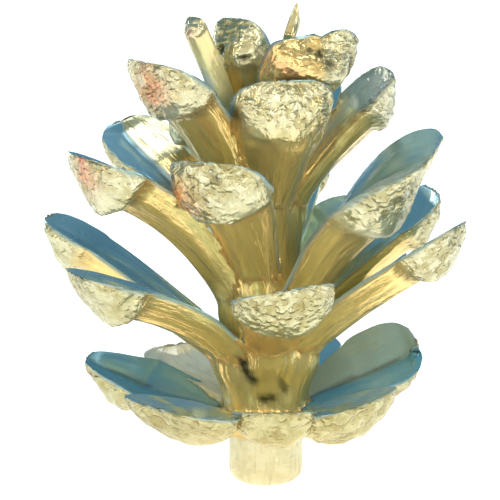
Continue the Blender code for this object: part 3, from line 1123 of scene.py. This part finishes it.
@dataclass(frozen=True)
class BrassFinish:
    """The colours, roughness and patterns of the cast brass, with painted reflections, highlights and
    shade.
    """

    neck: Colour = (0.98, 0.69, 0.26, 1.0)
    # colours of the painted highlights
    highlight_gold: Colour = (1.0, 0.87, 0.36, 1.0)
    highlight_cream: Colour = (1.0, 0.99, 0.84, 1.0)
    highlight_white: Colour = (1.0, 1.0, 0.96, 1.0)
    end: Colour = (0.74, 0.70, 0.46, 1.0)
    dull: Colour = (0.56, 0.50, 0.24, 1.0)
    # darker grain lines, and painted shade in the gaps between pebbles
    grain_and_gap_shade: Colour = (0.34, 0.27, 0.09, 1.0)
    shadow: Colour = (0.07, 0.06, 0.025, 1.0)
    copper: Colour = (0.88, 0.33, 0.18, 1.0)
    # the painted reflection of the blue surroundings: cool and grey-green tints, and teal
    cool: Colour = (0.44, 0.64, 0.66, 1.0)
    grey_green: Colour = (0.46, 0.55, 0.44, 1.0)
    teal: Colour = (0.05, 0.29, 0.47, 1.0)
    metallic: float = 0.76
    teal_reflection_metallic: float = 0.25
    painted_highlight_metallic: float = 0.1
    dull_metallic: float = 0.22
    neck_roughness: float = 0.17
    end_roughness: float = 0.2
    tinted_roughness: float = 0.18
    cloud_roughness: float = 0.1
    # patterns, in repeats a metre
    cloud_scale: float = 220.0
    patch_scale: float = 520.0
    speck_scale: float = 2600.0
    pebble_scale: float = 980.0
    fold_scale: float = 520.0
    drift_scale: float = 700.0
    drift: float = 0.9 * MM
    # the ends are duller and darker at the lowest ring, less so up to this height
    dulling_heights: Pair = (38.0 * MM, 12.0 * MM)
    bump_strength: float = 0.9
    bump_distance: float = 0.3 * MM

    def build(self) -> bpy.types.Material:
        """Builds the material from the marks stored on the skin.

        Returns:
            The material.
        """
        material = bpy.data.materials.new("cast brass")
        material.use_nodes = True
        make = NodeMaker(material.node_tree)
        skin = self.read(make)
        bump = {"Strength": self.bump_strength, "Distance": self.bump_distance, "Height": self.relief(skin)}
        surface = {
            "Base Color": self.colour(make, skin),
            "Roughness": self.roughness(skin),
            "Metallic": self.metal(skin),
            "Normal": make.node("ShaderNodeBump", bump),
        }
        make.feed(material.node_tree.nodes["Principled BSDF"], surface)
        return material

    def read(self, make: NodeMaker) -> SkinSockets:
        """Reads the marks and lays out the patterns.

        Args:
            make: The material's node maker.

        Returns:
            The marks and patterns.
        """
        zones = make.attribute(Mark.ZONES, "Color")
        rough = make.node("ShaderNodeSeparateColor", {0: zones})
        painted_highlight = make.node("ShaderNodeSeparateColor", {0: make.attribute(Mark.PAINTED_LIGHT, "Color")})
        reflection_tint = rough.beside(1)
        grain = make.attribute(Mark.GRAIN, "Vector")
        place = make.node("ShaderNodeTexCoord", out="Object")
        clouds = make.noise(place, self.cloud_scale, 3.0)
        patches = make.noise(place, self.patch_scale, 2.0)
        return SkinSockets(
            rough=rough,
            reflection_tint=reflection_tint,
            copper=rough.beside(2),
            pale=zones.beside("Alpha"),
            painted_highlight=painted_highlight,
            teal_reflection=painted_highlight.beside(1),
            painted_shade=painted_highlight.beside(2),
            height=make.node("ShaderNodeSeparateXYZ", {0: place}, out="Z"),
            streaks=self.lines(make, grain, 1.2).ramp(0.45, 0.75),
            folds=self.lines(make, grain, 0.5).ramp(0.3, 0.7),
            clouds=clouds,
            patches=patches,
            specks=make.noise(place, self.speck_scale, 2.0).ramp(0.52, 0.72),
            wrinkles=self.wrinkles(make, place),
            worked=rough * (0.25 + patches.ramp(0.36, 0.5) * 0.75),
            cold=(reflection_tint + (clouds - 0.5) * 0.4).ramp(0.66, 0.9),
            reflected_tint=reflection_tint.ramp(0.0, 0.5) * (1.0 - painted_highlight),
        )

    def lines(self, make: NodeMaker, grain: Socket, scale: float) -> Socket:
        """Fine lines that run along each neck."""
        drawn = make.node("ShaderNodeMapping", {"Vector": grain, "Scale": (0.2, 1.6, 1.0)})
        return make.noise(drawn, scale, 3.0)

    def wrinkles(self, make: NodeMaker, place: Socket) -> Socket:
        """Lays out the gaps between the soft pebbles and folds of the rough casting.

        Args:
            make: The material's node maker.
            place: The place on the object.

        Returns:
            About 1 in the gaps and 0 on the pebbles.
        """
        drift = make.noise(place, self.drift_scale, 2.0).beside("Color")
        drift = make.node("ShaderNodeVectorMath", {0: drift, 3: self.drift}, operation="SCALE")
        moved = make.node("ShaderNodeVectorMath", {0: place, 1: drift}, operation="ADD")
        level = make.node("ShaderNodeMapping", {"Vector": moved, "Scale": (1.0, 1.0, 1.3)})
        inputs = {"Vector": level, "Scale": self.pebble_scale, "Smoothness": 0.35}
        pebbles = make.node("ShaderNodeTexVoronoi", inputs, feature="SMOOTH_F1").ramp(0.22, 0.68)
        folds = make.noise(level, self.fold_scale, 1.5, Roughness=0.5, Distortion=0.4).ramp(0.6, 0.34)
        return pebbles * 0.7 + folds * 0.4

    def colour(self, make: NodeMaker, skin: SkinSockets) -> Socket:
        """Works the base colour up from gold necks, through painted reflections and highlights, to painted
        shade in the hollows.

        Args:
            make: The material's node maker.
            skin: The marks and patterns.

        Returns:
            The base colour.
        """
        colour = make.blend(skin.pale * 0.95, self.neck, self.end)
        # the ends are duller and darker in patches and towards the bottom
        dulling = skin.patches.ramp(0.46, 0.7) * 0.6 + skin.height.ramp(*self.dulling_heights) * 0.75
        colour = make.blend(skin.pale * dulling, colour, self.dull)
        # painted reflection of the blue surroundings, as a cool or grey-green tint
        reflected_tint = make.blend(skin.cold, self.grey_green, self.cool)
        colour = make.blend(skin.reflected_tint, colour, reflected_tint)
        # painted teal reflection of the blue surroundings
        colour = make.blend(skin.teal_reflection * (0.85 + (skin.clouds - 0.5) * 0.5), colour, self.teal)
        colour = make.blend(skin.copper * skin.patches.ramp(0.25, 0.5), colour, self.copper)
        # painted highlights, white where strongest
        bright = make.blend(skin.pale, self.highlight_gold, self.highlight_cream)
        bright = make.blend(skin.painted_highlight.ramp(0.8, 1.0) * 0.7, bright, self.highlight_white)
        colour = make.blend(skin.painted_highlight, colour, bright)
        # darker grain lines, and painted shade in the gaps between pebbles
        dark = skin.wrinkles * skin.worked * 0.6 + skin.streaks * (0.26 - skin.reflection_tint * 0.2)
        colour = make.blend(dark + skin.specks * skin.rough * 0.15, colour, self.grain_and_gap_shade)
        # painted shade in creases, valleys, pits and pockets
        return make.blend(skin.painted_shade, colour, self.shadow)

    def roughness(self, skin: SkinSockets) -> Socket:
        """Works out the roughness: polished necks, duller ends and the tinted upper faces.

        Args:
            skin: The marks and patterns.

        Returns:
            The roughness.
        """
        roughness = self.neck_roughness + skin.pale * (self.end_roughness - self.neck_roughness)
        roughness = roughness + skin.reflected_tint * (self.tinted_roughness - self.neck_roughness)
        return roughness + skin.clouds * self.cloud_roughness

    def metal(self, skin: SkinSockets) -> Socket:
        """Works out how metallic the surface is: less so where teal reflection or highlights are painted,
        or where the tint is grey-green.

        Args:
            skin: The marks and patterns.

        Returns:
            The share of metal.
        """
        metal = self.metallic - skin.teal_reflection * (self.metallic - self.teal_reflection_metallic)
        metal = metal - skin.painted_highlight * (self.metallic - self.painted_highlight_metallic)
        return metal - skin.reflected_tint * (1.0 - skin.cold) * (self.metallic - self.dull_metallic)

    def relief(self, skin: SkinSockets) -> Socket:
        """Works out the fine relief: gaps and lines sink, patches and folds rise.

        Args:
            skin: The marks and patterns.

        Returns:
            The height for the bump.
        """
        height = skin.wrinkles * skin.worked * -0.9 + skin.streaks * (1.0 - skin.reflection_tint) * -0.3
        height = height + skin.folds * (1.0 - skin.pale) * 0.3
        return height + skin.patches * (0.12 + skin.rough * 1.1) + skin.specks * skin.rough * -0.1


@dataclass(frozen=True)
class Panel:
    """A light that stands round the finial, seen only in reflections and as light.

    Directions are in degrees: azimuth 0 is -Y (the viewer's side) and 90 is +X.
    """

    name: str
    azimuth: float
    elevation: float
    wide: float
    tall: float
    colour: tuple[float, float, float]
    strength: float
    distance: float = 0.6


@dataclass
class Studio:
    """Floor, world, panels and the camera at the photograph's angle, in metres."""

    centre: tuple[float, float, float] = (0.0, 0.0, 0.032)
    floor_size: float = 1.1
    floor_drop: float = 0.00002
    floor_colour: Colour = (0.9, 0.9, 0.9, 1.0)
    floor_roughness: float = 0.8
    floor_glow: float = 0.8
    back: Colour = (0.085, 0.25, 0.39, 1.0)
    back_from: Pair = (-0.1, 0.35)
    above: Colour = (0.34, 0.37, 0.36, 1.0)
    above_from: Pair = (0.25, 0.6)
    front: Colour = (0.92, 0.86, 0.70, 1.0)
    panels: tuple[Panel, ...] = (
        Panel("high white", 100.0, 70.0, 0.26, 0.26, (1.0, 1.0, 0.97), 4.0),
        Panel("right white", 112.0, 48.0, 0.34, 0.26, (1.0, 1.0, 0.95), 3.0),
        Panel("left strip", -52.0, 10.0, 0.06, 0.5, (1.0, 0.98, 0.9), 7.5),
        Panel("right strip", 22.0, 6.0, 0.08, 0.5, (1.0, 0.98, 0.9), 9.0),
        Panel("left rim", -146.0, 2.0, 0.07, 0.3, (1.0, 0.99, 0.94), 9.0),
    )
    camera_target: tuple[float, float, float] = (-0.00208, 0.0, 0.0309)
    camera_distance: float = 0.40
    camera_tilt: float = 12.0
    camera_sees: float = 0.065
    sensor_width: float = 36.0

    def build(self) -> None:
        """Builds everything round the finial."""
        self.floor()
        self.world()
        for panel in self.panels:
            self.panel(panel)
        self.camera()
        bpy.context.scene.view_settings.view_transform = "Standard"

    def floor(self) -> None:
        """Lays a plain white floor just below the foot."""
        bpy.ops.object.select_all(action="DESELECT")
        bpy.ops.mesh.primitive_plane_add(size=self.floor_size, location=(0.0, 0.0, -self.floor_drop))
        floor = bpy.context.active_object
        floor.name = "floor"
        bpy.ops.object.transform_apply(location=True, rotation=True, scale=True)
        white = bpy.data.materials.new("white floor")
        white.use_nodes = True
        shader = white.node_tree.nodes["Principled BSDF"]
        shader.inputs["Base Color"].default_value = self.floor_colour
        shader.inputs["Roughness"].default_value = self.floor_roughness
        shader.inputs["Emission Color"].default_value = (1.0, 1.0, 1.0, 1.0)
        shader.inputs["Emission Strength"].default_value = self.floor_glow
        floor.data.materials.append(white)
        floor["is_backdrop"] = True

    def world(self) -> None:
        """Surrounds the finial: cool behind, grey above, and warm in front."""
        world = bpy.data.worlds.new("surround")
        world.use_nodes = True
        make = NodeMaker(world.node_tree)
        towards = make.node("ShaderNodeTexCoord", out="Generated")
        up = make.node("ShaderNodeSeparateXYZ", {0: towards}, out="Z")
        behind = (up.beside("Y") + up * 0.6).ramp(*self.back_from)
        colour = make.blend(up.ramp(*self.above_from), self.front, self.above)
        colour = make.blend(behind, colour, self.back)
        make.feed(world.node_tree.nodes["Background"], {"Color": colour})
        bpy.context.scene.world = world

    def panel(self, panel: Panel) -> None:
        """Adds one area light aimed at the finial.

        Args:
            panel: Its place, size, colour and strength.
        """
        azimuth, elevation = math.radians(panel.azimuth), math.radians(panel.elevation)
        level = math.cos(elevation)
        towards = Vector((math.sin(azimuth) * level, -math.cos(azimuth) * level, math.sin(elevation)))
        data = bpy.data.lights.new(panel.name, "AREA")
        data.shape = "RECTANGLE"
        data.size = panel.wide
        data.size_y = panel.tall
        data.color = panel.colour
        data.energy = panel.strength * math.pi * panel.wide * panel.tall
        light = bpy.data.objects.new(panel.name, data)
        light.location = Vector(self.centre) + towards * panel.distance
        light.rotation_euler = towards.to_track_quat("Z", "Y").to_euler()
        bpy.context.scene.collection.objects.link(light)

    def camera(self) -> None:
        """Sets up the photograph's view: 12 degrees down, 0.13 mm a pixel."""
        tilt = math.radians(self.camera_tilt)
        data = bpy.data.cameras.new("camera")
        data.sensor_width = self.sensor_width
        data.lens = self.sensor_width * self.camera_distance / self.camera_sees
        data.clip_start = 0.01
        camera = bpy.data.objects.new("camera", data)
        away = Vector((0.0, -math.cos(tilt), math.sin(tilt)))
        camera.location = Vector(self.camera_target) + self.camera_distance * away
        camera.rotation_euler = (math.pi / 2 - tilt, 0.0, 0.0)
        bpy.context.scene.collection.objects.link(camera)
        bpy.context.scene.camera = camera


def keep_inside(piece: bpy.types.Object, box: tuple) -> None:
    """Holds a piece's points to a box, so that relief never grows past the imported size.

    Args:
        piece: The piece.
        box: The box's low and high corners, in metres.
    """
    put_points(piece.data, np.clip(points_of(piece.data), np.array(box[0]), np.array(box[1])))


def main() -> None:
    """Builds the casting and the studio round it."""
    logging.basicConfig(level=logging.INFO, format="%(message)s")
    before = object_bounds()
    casting = Casting().build()
    keep_inside(casting, before)
    casting.data.materials.clear()
    casting.data.materials.append(BrassFinish().build())
    casting.data.shade_smooth()
    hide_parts(NODE)
    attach(casting, "root")
    log.info("%s dressed", casting.name)
    Studio().build()
    log.info("studio built")


if __name__ == "__main__":
    main()
